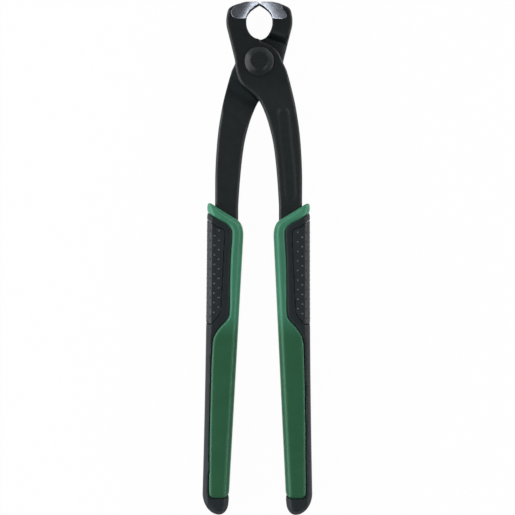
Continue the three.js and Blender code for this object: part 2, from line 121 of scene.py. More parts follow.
def linear(code):
    """An sRGB hex colour as linear red, green and blue."""
    shares = [int(code[i:i + 2], 16) / 255 for i in (1, 3, 5)]
    return tuple(s / 12.92 if s <= 0.04045 else ((s + 0.055) / 1.055) ** 2.4 for s in shares)


# Shapes

def merged_copy(node):
    """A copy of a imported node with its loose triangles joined."""
    bm = bmesh.new()
    bm.from_mesh(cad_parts[node].data)
    bmesh.ops.remove_doubles(bm, verts=bm.verts, dist=WELD)
    return bm


def surface_of(node):
    """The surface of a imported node, to measure distances from."""
    bm = merged_copy(node)
    surface = BVHTree.FromBMesh(bm)
    bm.free()
    return surface


def cut_off(bm, place, beyond):
    """Takes away what lies beyond a plane and closes the cut."""
    everything = bm.verts[:] + bm.edges[:] + bm.faces[:]
    made = bmesh.ops.bisect_plane(
        bm, geom=everything, dist=0.0001 * MM, plane_co=place, plane_no=beyond, clear_outer=True
    )
    rim = [part for part in made["geom_cut"] if isinstance(part, bmesh.types.BMEdge)]
    bmesh.ops.triangle_fill(bm, edges=rim, use_beauty=True)
    return [part for part in made["geom_cut"] if isinstance(part, bmesh.types.BMVert)]


def joined(*parts):
    """Several meshes in one."""
    whole = bmesh.new()
    for part in parts:
        mesh = bpy.data.meshes.new("part")
        part.to_mesh(mesh)
        part.free()
        whole.from_mesh(mesh)
        bpy.data.meshes.remove(mesh)
    return whole


def even_skin(bm, grid):
    """The same solid under an even skin of small square faces, which can be smoothed like clay."""
    mesh = bpy.data.meshes.new("skin")
    bm.to_mesh(mesh)
    bm.free()
    holder = bpy.data.objects.new("skin", mesh)
    bpy.context.scene.collection.objects.link(holder)
    remesh = holder.modifiers.new("Even skin", "REMESH")
    remesh.mode = "VOXEL"
    remesh.voxel_size = grid
    skin = bmesh.new()
    skin.from_object(holder, bpy.context.evaluated_depsgraph_get())
    bpy.data.objects.remove(holder)
    bpy.data.meshes.remove(mesh)
    return skin


def smooth(bm, verts, passes):
    """Draws places towards their neighbours, so that edges get round. The radius grows with the
    root of the passes."""
    for _ in range(passes):
        bmesh.ops.smooth_vert(
            bm, verts=verts, factor=0.5, use_axis_x=True, use_axis_y=True, use_axis_z=True
        )


def soften(bm, passes, where=None):
    """Rounds edges off."""
    smooth(bm, [v for v in bm.verts if where(v.co)] if where else bm.verts[:], passes)


def soften_faces(bm, passes, where, wall_room):
    """Rounds steps off that lie in a level face, and keeps the face's own edges along the walls."""
    bm.normal_update()
    walls = [v.co for v in bm.verts if abs(v.normal.z) < WALL]
    tree = KDTree(len(walls))
    for index, place in enumerate(walls):
        tree.insert(place, index)
    tree.balance()
    near = [v for v in bm.verts if where(v.co, v.normal) and tree.find(v.co)[2] > wall_room]
    smooth(bm, near, passes)


def add_piece(name, bm, materials, body, node):
    """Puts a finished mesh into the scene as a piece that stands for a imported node."""
    mesh = bpy.data.meshes.new(name)
    for face in bm.faces:
        face.smooth = True
    bm.to_mesh(mesh)
    bm.free()
    for material in materials:
        mesh.materials.append(material)
    piece = bpy.data.objects.new(name, mesh)
    bpy.context.scene.collection.objects.link(piece)
    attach(piece, body)
    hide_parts(node)
    return piece


def add_twins(kind, name, bm, materials):
    """The piece for the front half, and its twin, turned half round, for the back half."""
    twin = bm.copy()
    bmesh.ops.rotate(twin, cent=(0, 0, MIDDLE), matrix=HALF_TURN, verts=twin.verts)
    for (node, body), shape in zip(TWINS[kind], (bm, twin)):
        add_piece(name(node), shape, materials, body, node)


# Materials

def add_node(tree, kind, inputs=None, **settings):
    """Adds a node with its settings. An input is a plain value, or the socket that feeds it."""
    node = tree.nodes.new("ShaderNode" + kind)
    for key, value in settings.items():
        setattr(node, key, value)
    for key, value in (inputs or {}).items():
        if isinstance(value, bpy.types.NodeSocket):
            tree.links.new(value, node.inputs[key])
        else:
            node.inputs[key].default_value = value
    return node


def new_material(name):
    """An empty node material, with its tree, its output and the piece's own coordinates."""
    material = bpy.data.materials.new(name)
    material.use_nodes = True
    tree = material.node_tree
    tree.nodes.clear()
    output = add_node(tree, "OutputMaterial")
    place = add_node(tree, "TexCoord").outputs["Object"]
    return material, tree, output, place


def along(tree, place, low, high):
    """A value that runs from 0 to 1 between two places along the tool."""
    reach = add_node(tree, "SeparateXYZ", {"Vector": place}).outputs["Y"]
    return add_node(tree, "MapRange", {
        "Value": reach, "From Min": low, "From Max": high,
    }, interpolation_type="SMOOTHSTEP").outputs["Result"]


def shade(colour, share):
    """A colour made darker or lighter by a share, as a colour socket takes it."""
    return (*(min(1, c * share) for c in colour[:3]), 1)


def oxidised_forging(name, colour, roughness, sheen):
    """Drop-forged chrome vanadium steel, blasted and black oxidised."""
    material, tree, output, place = new_material(name)
    # Blasted scale: faint clouds a few millimetres wide under a pitted, satin skin. The pits are
    # drawn coarser than they are, so that they show.
    clouds = add_node(tree, "TexNoise", {
        "Vector": place, "Scale": 1 / (4 * MM), "Detail": 3, "Roughness": 0.55,
    }).outputs["Fac"]
    cloudy = add_node(tree, "MapRange", {"Value": clouds, **NOISE_SPAN}).outputs["Result"]
    pits = add_node(tree, "TexNoise", {
        "Vector": place, "Scale": 1 / (0.5 * MM), "Detail": 4, "Roughness": 0.55,
    }).outputs["Fac"]
    bump = add_node(tree, "Bump", {"Height": pits, "Strength": 0.5, "Distance": 0.018 * MM})
    plain, hard, painted_fill_colour = (
        add_node(tree, "MixRGB", {
            "Fac": cloudy, "Color1": shade(colour, dark), "Color2": shade(colour, light),
        }).outputs["Color"]
        for dark, light in ((0.86, 1.12), (0.58, 0.76), (1.7, 2.1))
    )
    # The oxide is blacker on the jaws, which are hardened.
    hardened = along(tree, place, -28 * MM, 6 * MM)
    skin = add_node(tree, "MixRGB", {"Fac": hardened, "Color1": plain, "Color2": hard})
    # The level faces in the joint, near the middle plane, are painted lighter: painted light that
    # stands in for the fill that reaches the recess beside the boss.
    apart = add_node(tree, "SeparateXYZ", {"Vector": place}).outputs
    height = add_node(tree, "Math", {0: apart["Z"], 1: MIDDLE}, operation="SUBTRACT").outputs[0]
    height = add_node(tree, "Math", {0: height}, operation="ABSOLUTE").outputs[0]
    flat = add_node(tree, "CombineXYZ", {"X": apart["X"], "Y": apart["Y"]}).outputs["Vector"]
    reach = add_node(tree, "VectorMath", {0: flat}, operation="LENGTH").outputs["Value"]
    normal = add_node(tree, "TexCoord").outputs["Normal"]
    level = add_node(tree, "SeparateXYZ", {"Vector": normal}).outputs["Z"]
    level = add_node(tree, "Math", {0: level}, operation="ABSOLUTE").outputs[0]
    painted_fill_mask = 1.0
    for value, none, full in (
        (height, 2.5 * MM, 0.8 * MM), (reach, 24 * MM, 19 * MM), (level, 0.7, 0.95),
    ):
        share = add_node(tree, "MapRange", {
            "Value": value, "From Min": none, "From Max": full,
        }, interpolation_type="SMOOTHSTEP").outputs["Result"]
        painted_fill_mask = add_node(tree, "Math", {0: painted_fill_mask, 1: share}, operation="MULTIPLY").outputs[0]
    # Painted fill light, mixed in over the oxide where the mask says.
    skin = add_node(tree, "MixRGB", {
        "Fac": painted_fill_mask, "Color1": skin.outputs["Color"], "Color2": painted_fill_colour,
    })
    uneven = add_node(tree, "MapRange", {
        "Value": pits, **NOISE_SPAN, "To Min": roughness - 0.05, "To Max": roughness + 0.05,
    })
    shader = add_node(tree, "BsdfPrincipled", {
        "Base Color": skin.outputs["Color"],
        "Roughness": uneven.outputs["Result"],
        "IOR": 1.5,
        "Specular IOR Level": sheen,
        "Normal": bump.outputs["Normal"],
    })
    tree.links.new(shader.outputs["BSDF"], output.inputs["Surface"])
    return material


def ground_steel(colour):
    """Bare tool steel off the grinding wheel."""
    material, tree, output, place = new_material("surface_ground_tool_steel")
    # The wheel leaves fine scratches across the jaw, drawn coarser than they are so that they show,
    # and faint wide bands where it dwelt.
    drawn = add_node(tree, "Mapping", {
        "Vector": place, "Rotation": (0, 0, math.radians(18)), "Scale": (0.12, 1, 1),
    }).outputs["Vector"]
    scratches = add_node(tree, "TexNoise", {
        "Vector": drawn, "Scale": 1 / (0.22 * MM), "Detail": 4, "Roughness": 0.55,
    }).outputs["Fac"]
    bands = add_node(tree, "TexNoise", {
        "Vector": place, "Scale": 1 / (2.2 * MM), "Detail": 2, "Roughness": 0.55,
    }).outputs["Fac"]
    banded = add_node(tree, "MapRange", {"Value": bands, **NOISE_SPAN}).outputs["Result"]
    # The wheel's round leaves the faces hollow: they lean more and more towards the cutting edges.
    apart = add_node(tree, "SeparateXYZ", {"Vector": place}).outputs
    across = add_node(tree, "Math", {0: apart["X"]}, operation="ABSOLUTE").outputs[0]
    across = add_node(tree, "Math", {0: across, 1: HOLLOW_WAY[0]}, operation="MULTIPLY").outputs[0]
    up = add_node(tree, "Math", {0: apart["Y"], 1: HOLLOW_BASE}, operation="SUBTRACT").outputs[0]
    out = add_node(
        tree, "Math", {0: up, 1: HOLLOW_WAY[1], 2: across}, operation="MULTIPLY_ADD",
    ).outputs[0]
    wide = add_node(
        tree, "Math", {0: out, 1: WIDE_SCALE, 2: WIDE_SHIFT}, operation="MULTIPLY_ADD",
    ).outputs[0]
    right = add_node(tree, "Math", {0: apart["X"], 1: 0.0}, operation="GREATER_THAN").outputs[0]
    out = add_node(tree, "Mix", {0: right, 2: out, 3: wide}).outputs[0]
    gain = add_node(tree, "Mix", {0: right, 2: HOLLOW_GAIN, 3: HOLLOW_GAIN * WIDE_GAIN}).outputs[0]
    depth = 0.0
    for start, way in ((HOLLOW_START, "ADD"), (HOLLOW_START - HOLLOW_REACH, "SUBTRACT")):
        inside = add_node(tree, "Math", {0: start, 1: out}, operation="SUBTRACT").outputs[0]
        inside = add_node(tree, "Math", {0: inside, 1: 0.0}, operation="MAXIMUM").outputs[0]
        squared = add_node(tree, "Math", {0: inside, 1: inside}, operation="MULTIPLY").outputs[0]
        depth = add_node(tree, "Math", {0: depth, 1: squared}, operation=way).outputs[0]
    depth = add_node(tree, "Math", {0: depth, 1: gain}, operation="MULTIPLY").outputs[0]
    hollow = add_node(tree, "Bump", {"Height": depth, "Strength": 1.0, "Distance": -0.5})
    bump = add_node(tree, "Bump", {
        "Height": scratches, "Strength": 0.35, "Distance": 0.012 * MM,
        "Normal": hollow.outputs["Normal"],
    })
    skin = add_node(tree, "MixRGB", {
        "Fac": banded, "Color1": shade(colour, 0.82), "Color2": shade(colour, 1.1),
    })
    uneven = add_node(tree, "MapRange", {
        "Value": scratches, **NOISE_SPAN, "To Min": 0.24, "To Max": 0.34,
    })
    shader = add_node(tree, "BsdfPrincipled", {
        "Base Color": skin.outputs["Color"],
        "Metallic": 1.0,
        "Roughness": uneven.outputs["Result"],
        "Normal": bump.outputs["Normal"],
    })
    tree.links.new(shader.outputs["BSDF"], output.inputs["Surface"])
    return material


def oxidised_rivet(colour):
    """A turned steel rivet, black oxidised after turning."""
    material, tree, output, place = new_material("black_oxidised_turned_steel")
    # Turned, so smoother than the forging, with only fine spots in the oxide.
    spots = add_node(tree, "TexNoise", {
        "Vector": place, "Scale": 1 / (0.8 * MM), "Detail": 3, "Roughness": 0.55,
    }).outputs["Fac"]
    spotted = add_node(tree, "MapRange", {"Value": spots, **NOISE_SPAN}).outputs["Result"]
    bump = add_node(tree, "Bump", {"Height": spots, "Strength": 0.25, "Distance": 0.012 * MM})
    skin = add_node(tree, "MixRGB", {
        "Fac": spotted, "Color1": shade(colour, 0.9), "Color2": shade(colour, 1.1),
    })
    uneven = add_node(tree, "MapRange", {
        "Value": spots, **NOISE_SPAN, "To Min": 0.26, "To Max": 0.31,
    })
    shader = add_node(tree, "BsdfPrincipled", {
        "Base Color": skin.outputs["Color"],
        "Roughness": uneven.outputs["Result"],
        "IOR": 1.5,
        "Specular IOR Level": 0.37,
        "Normal": bump.outputs["Normal"],
    })
    tree.links.new(shader.outputs["BSDF"], output.inputs["Surface"])
    return material


def moulded_polypropylene(colour, lit_colour, glint):
    """Hard polypropylene, injection moulded in a finely eroded mould."""
    material, tree, output, place = new_material("moulded_green_polypropylene")
    # Spark-eroded finish: a fine even grain, drawn coarser than it is so that it shows, satin, with
    # very faint flow clouds in the colour.
    flow = add_node(tree, "TexNoise", {
        "Vector": place, "Scale": 1 / (9 * MM), "Detail": 2, "Roughness": 0.55,
    }).outputs["Fac"]
    flowing = add_node(tree, "MapRange", {"Value": flow, **NOISE_SPAN}).outputs["Result"]
    erosion = add_node(tree, "TexNoise", {
        "Vector": place, "Scale": 1 / (0.3 * MM), "Detail": 2, "Roughness": 0.55,
    }).outputs["Fac"]
    bump = add_node(tree, "Bump", {"Height": erosion, "Strength": 0.35, "Distance": 0.012 * MM})
    # The plain green and two lighter copies of it, painted highlights for the upper grips and the
    # collar.
    skin, painted_lighter, collar = (
        add_node(tree, "MixRGB", {
            "Fac": flowing, "Color1": shade(dye, 0.95 * share), "Color2": shade(dye, 1.05 * share),
        }).outputs["Color"]
        for dye, share in ((colour, 1), (lit_colour, 1), (lit_colour, 1.16))
    )
    # Beside the pad and round the collar the shell is painted a little lighter: a painted highlight
    # for the light that the rounded upper grip and collar catch.
    for (low, high), lighter in ((PAINTED_LIGHT_SPAN, painted_lighter), (PAINTED_LIGHT_COLLAR, collar)):
        skin = add_node(tree, "MixRGB", {
            "Fac": along(tree, place, low, high), "Color1": skin, "Color2": lighter,
        }).outputs["Color"]
    uneven = add_node(tree, "MapRange", {
        "Value": erosion, **NOISE_SPAN, "To Min": 0.29, "To Max": 0.36,
    })
    shader = add_node(tree, "BsdfPrincipled", {
        "Base Color": skin,
        "Roughness": uneven.outputs["Result"],
        "IOR": 1.49,
        "Specular IOR Level": 0.5,
        "Specular Tint": (*glint, 1),
        "Normal": bump.outputs["Normal"],
    })
    tree.links.new(shader.outputs["BSDF"], output.inputs["Surface"])
    return material


def moulded_rubber(name, colour, grit, depth, roughness, sheen):
    """Thermoplastic rubber, moulded over the hard shell with a blasted grain."""
    material, tree, output, place = new_material(name)
    # Matte and slightly greyed by handling. The grain is the mould's own, drawn coarser than it is,
    # so that it shows.
    clouds = add_node(tree, "TexNoise", {
        "Vector": place, "Scale": 1 / (6 * MM), "Detail": 2, "Roughness": 0.55,
    }).outputs["Fac"]
    cloudy = add_node(tree, "MapRange", {"Value": clouds, **NOISE_SPAN}).outputs["Result"]
    grain = add_node(tree, "TexNoise", {
        "Vector": place, "Scale": 1 / grit, "Detail": 2, "Roughness": 0.6,
    }).outputs["Fac"]
    bump = add_node(tree, "Bump", {"Height": grain, "Strength": 0.6, "Distance": depth})
    skin = add_node(tree, "MixRGB", {
        "Fac": cloudy, "Color1": shade(colour, 0.92), "Color2": shade(colour, 1.08),
    })
    uneven = add_node(tree, "MapRange", {
        "Value": grain, **NOISE_SPAN, "To Min": roughness - 0.05, "To Max": roughness + 0.07,
    })
    shader = add_node(tree, "BsdfPrincipled", {
        "Base Color": skin.outputs["Color"],
        "Roughness": uneven.outputs["Result"],
        "IOR": 1.5,
        "Specular IOR Level": sheen,
        "Normal": bump.outputs["Normal"],
    })
    tree.links.new(shader.outputs["BSDF"], output.inputs["Surface"])
    return material


def white_floor(colour, glow):
    """A white paper sweep, which keeps a faint shadow."""
    material, tree, output, _ = new_material("white_paper_floor")
    path = add_node(tree, "LightPath").outputs
    seen = path["Is Camera Ray"]
    for ray in ("Is Glossy Ray", "Is Transmission Ray"):
        seen = add_node(
            tree, "Math", {0: seen, 1: path[ray]}, operation="ADD", use_clamp=True,
        ).outputs[0]
    share = add_node(tree, "Math", {0: seen, 1: glow}, operation="MULTIPLY")
    paper = add_node(tree, "BsdfDiffuse", {"Color": (*colour, 1)})
    lit = add_node(tree, "Emission", {"Color": (1, 1, 1, 1), "Strength": 1.0})
    mixed = add_node(tree, "MixShader", {
        0: share.outputs[0], 1: paper.outputs["BSDF"], 2: lit.outputs["Emission"],
    })
    tree.links.new(mixed.outputs["Shader"], output.inputs["Surface"])
    return material


# What a user would change

class NippersSizes(PropertyGroup):
    """Sizes of what the forging, grinding and moulding leave on the pieces."""

    forging_grid: FloatProperty(
        name="Forging grid",
        description="Width of the small faces that the levers are skinned with",
        default=0.36 * MM, unit="LENGTH", precision=5,
    )
    forging_softness: IntProperty(
        name="Forging softness", description="Smoothing passes that round the forging's edges",
        default=7, min=0, max=60,
    )
    head_softness: IntProperty(
        name="Head softness", description="More smoothing passes on the jaws' outer edges",
        default=14, min=0, max=60,
    )
    ramp_softness: IntProperty(
        name="Ramp softness", description="Smoothing passes on the ramp between boss and jaw",
        default=70, min=0, max=90,
    )
    recess_softness: IntProperty(
        name="Recess softness", description="Smoothing passes on the recess in the arm",
        default=14, min=0, max=90,
    )
    grinding_grid: FloatProperty(
        name="Grinding grid",
        description="Width of the small faces that the ground faces are skinned with",
        default=0.2 * MM, unit="LENGTH", precision=5,
    )
    grinding_fall: FloatProperty(
        name="Grinding fall",
        description="How far the ground faces fall off towards the cutting edges",
        default=0.12 * MM, unit="LENGTH", precision=5,
    )
    grinding_rise: FloatProperty(
        name="Grinding rise", description="How far the ground faces stand above the forged ones",
        default=0.25 * MM, unit="LENGTH", precision=5,
    )
    front_band: FloatProperty(
        name="Front band",
        description="Width of the black edge left beside the ring on a jaw's front face",
        default=0.15 * MM, unit="LENGTH", precision=5,
    )
    rear_band: FloatProperty(
        name="Rear band",
        description="Width of the black edge left beside the ring on a jaw's rear face",
        default=0.1 * MM, unit="LENGTH", precision=5,
    )
    rivet_edge: FloatProperty(
        name="Rivet edge", description="How far the edge of the rivet's flat tops is rounded",
        default=0.5 * MM, unit="LENGTH", precision=5,
    )
    shell_grid: FloatProperty(
        name="Shell grid",
        description="Width of the small faces that the hard shells are skinned with",
        default=0.44 * MM, unit="LENGTH", precision=5,
    )
    shell_softness: IntProperty(
        name="Shell softness",
        description="Smoothing passes that round the hard shell's long edges",
        default=18, min=0, max=90,
    )
    bead_width: FloatProperty(
        name="Bead width", description="Width of the bead that the hard shell has along its seams",
        default=1.8 * MM, unit="LENGTH", precision=5,
    )
    bead_slope: FloatProperty(
        name="Bead slope", description="How far that bead falls towards the seam, per length",
        default=0.65, min=0, max=2,
    )
    collar_softness: IntProperty(
        name="Collar softness", description="Smoothing passes that round the hard shell's collar",
        default=15, min=0, max=60,
    )
    rubber_grid: FloatProperty(
        name="Rubber grid",
        description="Width of the small faces that the soft pieces are skinned with",
        default=0.4 * MM, unit="LENGTH", precision=5,
    )
    rubber_softness: IntProperty(
        name="Rubber softness", description="Smoothing passes that round the soft pieces' edges",
        default=6, min=0, max=60,
    )
    dot_width: FloatProperty(
        name="Dot width", description="Width of one dot of the pad",
        default=1.05 * MM, unit="LENGTH", precision=5,
    )
    dot_rise: FloatProperty(
        name="Dot rise", description="Height of one dot above the pad",
        default=0.34 * MM, unit="LENGTH", precision=5,
    )
    dot_pitch: FloatProperty(
        name="Dot pitch", description="Distance from one dot to the next along the grip",
        default=5.2 * MM, unit="LENGTH", precision=5,
    )


class NippersColours(PropertyGroup):
    """Colours of the finishes."""

    forging: FloatVectorProperty(
        name="Forging", description="Oxidised steel of the levers",
        subtype="COLOR", default=linear("#1a2022"),
    )
    ground: FloatVectorProperty(
        name="Ground faces", description="Bare steel of the ground faces",
        subtype="COLOR", default=linear("#b4bac6"),
    )
    rivet: FloatVectorProperty(
        name="Rivet", description="Oxidised steel of the rivet",
        subtype="COLOR", default=linear("#212627"),
    )
    shell: FloatVectorProperty(
        name="Shells", description="Green polypropylene of the hard shells",
        subtype="COLOR", default=linear("#2e5c40"),
    )
    # A lighter green painted on the upper half of the grips: a painted highlight.
    painted_light_shell: FloatVectorProperty(
        name="Thin shells",
        description="Green polypropylene where it is thin, in the upper half of the grips",
        subtype="COLOR", default=linear("#407c61"),
    )
    shell_glint: FloatVectorProperty(
        name="Shells' glint", description="Tint of the light that the green shells reflect",
        subtype="COLOR", default=linear("#bcffe5"),
    )
    rubber: FloatVectorProperty(
        name="Covers", description="Black rubber of the covers",
        subtype="COLOR", default=linear("#1b2327"),
    )
    pad: FloatVectorProperty(
        name="Pads", description="Black rubber of the dotted pads",
        subtype="COLOR", default=linear("#1a2226"),
    )
    floor: FloatVectorProperty(
        name="Floor", description="White paper under the tool",
        subtype="COLOR", default=linear("#fdfdfd"),
    )


def sizes():
    """The sizes as they are set in the sidebar."""
    return bpy.context.scene.nippers_sizes


def colours():
    """The colours as they are set in the sidebar."""
    return bpy.context.scene.nippers_colours


# Levers

# Where the lever goes on as a plain tang, out of sight in the grip, and how far the two parts lap
TANG_START = -100 * MM
TANG_LAP = 2 * MM
# How near the cutting edge a jaw stays sharp, and the smoothing passes it has there
SHARP_REACH = 2.5 * MM
SHARP_PASSES = 1
# The ring hole's wall: from where along the tool, how near the hole's outline its faces are, and
# how much of their normal may point up or down
RING_START = 12 * MM
RING_REACH = 1.2 * MM
RING_LEAN = 0.6
# The ramp between boss and jaw: from where along the tool, and how far from the pivot
RAMP_START = 4 * MM
RAMP_SPAN = (10 * MM, 21 * MM)
# A jaw's outer side: from where along the tool, and how far out
SIDE_START = 2 * MM
SIDE_OUT = 12.5 * MM
# The recess in the arm: from where to where along the tool
RECESS_SPAN = (-75 * MM, -26 * MM)
# How far the steps that are rounded keep from the walls, on the ramp and round the recess
RAMP_ROOM = 0.8 * MM
RECESS_ROOM = 1.2 * MM


def beside_ring(x, y):
    """Distance of a place on a jaw from the wall of the ring hole."""
    place = Vector((abs(x), y, 0))
    found = []
    for start, end in zip(RING_WALL, RING_WALL[1:]):
        a = Vector((*start, 0)) * MM
        b = Vector((*end, 0)) * MM
        near, share = geometry.intersect_point_line(place, a, b)
        near = a if share < 0 else b if share > 1 else near
        found.append((place - near).length)
    return min(found)


def by_the_edge(place):
    """Whether a place lies close to the cutting edge, which stays sharp."""
    return (place.xy - CUTTING_EDGE).length < SHARP_REACH


def on_jaw_ramp(place, normal):
    """Whether a place is on the rear of the left jaw, where it rises out of the boss."""
    low, high = RAMP_SPAN
    return place.y > RAMP_START and low < place.xy.length < high and normal.z < -WALL


def on_head_side(place):
    """Whether a place is on the outer side of the jaw, whose edges are rounded more."""
    return place.y > SIDE_START and place.x < -SIDE_OUT


def on_recess(place, normal):
    """Whether a place is in or beside the recess in the arm's front face."""
    low, high = RECESS_SPAN
    return low < place.y < high and normal.z > LEVEL


def meet_at_edge(bm):
    """Draws the left jaw's cutting edge up to the middle, where the other jaw's edge is."""
    none, full = -0.75 * MM, -0.15 * MM
    centre, reach = CUTTING_EDGE.y + 0.15 * MM, 0.9 * MM
    pull, gap = 0.35 * MM, 0.02 * MM
    for vert in bm.verts:
        near = min(1, max(0, (vert.co.x - none) / (full - none)))
        near *= max(0, 1 - abs(vert.co.y - centre) / reach)
        if near > 0:
            vert.co.x = min(vert.co.x + pull * near, -gap)


class NIPPERS_OT_forge_levers(Operator):
    """Forge both levers: a rounded, oxidised skin on the lapped bosses, jaws and arms"""

    bl_idname = "nippers.forge_levers"
    bl_label = "Forge levers"

    def execute(self, context):
        forging = merged_copy("front_lever")
        cut_off(forging, (0, 0, MIDDLE + HEAD_FACE), (0, 0, 1))
        cut_off(forging, (0, 0, MIDDLE - HEAD_FACE), (0, 0, -1))
        tang = forging.copy()
        cut_off(forging, (0, TANG_START - TANG_LAP, 0), (0, -1, 0))
        cut_off(tang, (0, TANG_START, 0), (0, 1, 0))
        forging = even_skin(forging, sizes().forging_grid)
        soften(forging, SHARP_PASSES, by_the_edge)
        soften(forging, sizes().forging_softness, lambda place: not by_the_edge(place))
        meet_at_edge(forging)
        soften(forging, sizes().head_softness, on_head_side)
        soften_faces(forging, sizes().ramp_softness, on_jaw_ramp, RAMP_ROOM)
        soften_faces(forging, sizes().recess_softness, on_recess, RECESS_ROOM)
        lever = joined(forging, tang)
        # The walls of the ring hole can't be reached by the blast and stay dull.
        lever.normal_update()
        for face in lever.faces:
            place = face.calc_center_median()
            wall = abs(face.normal.z) < RING_LEAN and place.y > RING_START
            wall = wall and beside_ring(place.x, place.y) < RING_REACH
            face.material_index = 1 if wall else 0
        colour = colours().forging
        steels = [
            oxidised_forging("black_oxidised_forged_steel", colour, roughness=0.42, sheen=0.4),
            oxidised_forging("dull_black_oxidised_forged_steel", colour, roughness=0.85, sheen=0.1),
        ]
        add_twins("lever", lambda node: node + "_forging", lever, steels)
        return {"FINISHED"}


# How deep the ground piece is let into the forged one, from how far it falls off towards the
# cutting edge, how steeply it drops to the black band beside the ring, how far at most, and the
# smoothing passes that round its outer edges
GROUND_STOCK = 0.4 * MM
FALL_WIDTH = 8.5 * MM
BAND_SLOPE = 4
FALL_LIMIT = 0.6 * MM
GRINDING_PASSES = 4


def ground_face(side, band):
    """The ground face of the front lever's jaw on one side of the middle plane."""
    level = MIDDLE + side * HEAD_FACE
    face = merged_copy("front_lever")
    rim = cut_off(face, (0, 0, level), (0, 0, -side))
    bmesh.ops.translate(face, verts=rim, vec=(0, 0, -side * GROUND_STOCK))
    face = even_skin(face, sizes().grinding_grid)
    soften(face, GRINDING_PASSES, lambda place: not by_the_edge(place))
    soften(face, SHARP_PASSES, by_the_edge)
    high = max(side * (vert.co.z - level) for vert in face.verts)
    for vert in face.verts:
        height = side * (vert.co.z - level)
        if height > 0:
            across = max(0, 1 - abs(vert.co.x) / FALL_WIDTH)
            beside = beside_ring(vert.co.x, vert.co.y)
            fall = sizes().grinding_fall * across ** 2 + BAND_SLOPE * max(0, band - beside)
            rise = height * sizes().grinding_rise / high
            vert.co.z = level + side * (rise - min(fall, FALL_LIMIT))
    meet_at_edge(face)
    return face


class NIPPERS_OT_grind_jaws(Operator):
    """Grind the faces of both jaws bright, down to the black edge beside the ring"""

    bl_idname = "nippers.grind_jaws"
    bl_label = "Grind jaws"

    def execute(self, context):
        faces = joined(ground_face(1, sizes().front_band), ground_face(-1, sizes().rear_band))
        # Only the faces are ground; the steps round them keep their oxide.
        faces.normal_update()
        for face in faces.faces:
            face.material_index = 0 if abs(face.normal.z) > LEVEL else 1
        steels = [
            ground_steel(colours().ground),
            oxidised_forging("black_oxidised_steps", colours().forging, roughness=0.5, sheen=0.3),
        ]
        add_twins("lever", lambda node: node + "_ground_faces", faces, steels)
        return {"FINISHED"}


# The rivet: its shank's and its flat tops' radius, the underside of a head from the middle, how
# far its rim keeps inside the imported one, and the rim's rounding from there, in and up, in
# millimetres
SHANK = 4.5 * MM
FLAT_TOP = 4.6 * MM
HEAD_UNDERSIDE = 6.5 * MM
RIM_INSIDE = 0.2 * MM
RIM_ROUND = ((0.03, 0.25), (0.12, 0.38), (0.35, 0.52))


class NIPPERS_OT_set_rivet(Operator):
    """Turn the pivot rivet with its two flat-topped heads and set it through the bosses"""

    bl_idname = "nippers.set_rivet"
    bl_label = "Set rivet"

    def execute(self, context):
        low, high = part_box("pivot_rivet")
        rim = (high.x - low.x) / 2 - RIM_INSIDE
        upper = [(SHANK, HEAD_UNDERSIDE), (rim, HEAD_UNDERSIDE)]
        upper += [(rim - x * MM, HEAD_UNDERSIDE + z * MM) for x, z in RIM_ROUND]
        upper += [(FLAT_TOP, MIDDLE)]
        profile = [(x, -z) for x, z in reversed(upper)] + upper
        profile = [(0, -MIDDLE), *profile, (0, MIDDLE)]
        rivet = bmesh.new()
        verts = [rivet.verts.new((x, 0, MIDDLE + z)) for x, z in profile]
        edges = [rivet.edges.new(pair) for pair in zip(verts, verts[1:])]
        bmesh.ops.spin(
            rivet, geom=verts + edges, cent=(0, 0, 0), axis=(0, 0, 1), dvec=(0, 0, 0),
            angle=2 * math.pi, steps=96, use_merge=True,
        )
        bmesh.ops.remove_doubles(rivet, verts=rivet.verts, dist=WELD)
        bmesh.ops.recalc_face_normals(rivet, faces=rivet.faces)
        ring = [
            edge for edge in rivet.edges
            if len(edge.link_faces) == 2 and edge.calc_face_angle() > math.radians(12)
            and all(abs(vert.co.xy.length - FLAT_TOP) < 0.05 * MM for vert in edge.verts)
        ]
        bmesh.ops.bevel(
            rivet, geom=ring, offset=sizes().rivet_edge, offset_type="OFFSET", segments=4,
            profile=0.5, affect="EDGES", material=-1, clamp_overlap=True,
        )
        steel = oxidised_rivet(colours().rivet)
        add_piece("set_rivet", rivet, [steel], "front_half", "pivot_rivet")
        return {"FINISHED"}


# Grips

# Where the arm enters the collar of the right grip, and where the collar ends
MOUTH = (9.5 * MM, 25.5 * MM)
MOUTH_DEPTH = -104 * MM
MOUTH_HALF = 6.3 * MM
COLLAR_END = -84 * MM
COLLAR_FADE = 2.5 * MM
# How far across from the tool's long axis the shell's finger side reaches
FINGER_SIDE = 14 * MM
# The palm side: its rounding, how far out it is at its start, its start and length along the tool,
# how far it bows out on the way, and how steeply it leans where the flat face ends
PALM_ROUND = 5.7 * MM
PALM_OUT = 28.1 * MM
PALM_START = -79 * MM
PALM_LENGTH = 168.6 * MM
PALM_BOW = 2.2 * MM
SHOULDER_LEAN = math.radians(27.5)
# Columns of dots: distance out from the rounding's centre and height above the middle, both in
# millimetres, and lean in degrees
DOT_COLUMNS = (
    (-1.0, 8.5, 0), (1.45, 8.5, 0), (3.9, 7.6, 43), (5.35, 5.41, 70), (5.7, 2.77, 90), (5.7, 0, 90),
)
# First rows of the even and the odd columns, on the front and on the back, and how many rows
DOT_ROWS = {1: (-93.3 * MM, -95.95 * MM), -1: (-92.6 * MM, -95.4 * MM)}
DOT_ROW_COUNT = 10
# How far above and below the skin a dot's place is looked for, and how much lower the dots of the
# palm side are worn
DOT_SEARCH = 2 * MM
PALM_WEAR = 0.7
# The pads' skin against the covers': its faces are finer
PAD_FINENESS = 0.8
# What is left of a seam, and from and to which distance a soft piece is drawn up to its neighbour
SEAM = 0.07 * MM
SEAM_FROM = 1.5 * MM
SEAM_TO = 0.34 * MM
# The cover's own bevel along the shell: its width, and its fall per length
COVER_BEVEL = (0.9 * MM, 0.5)
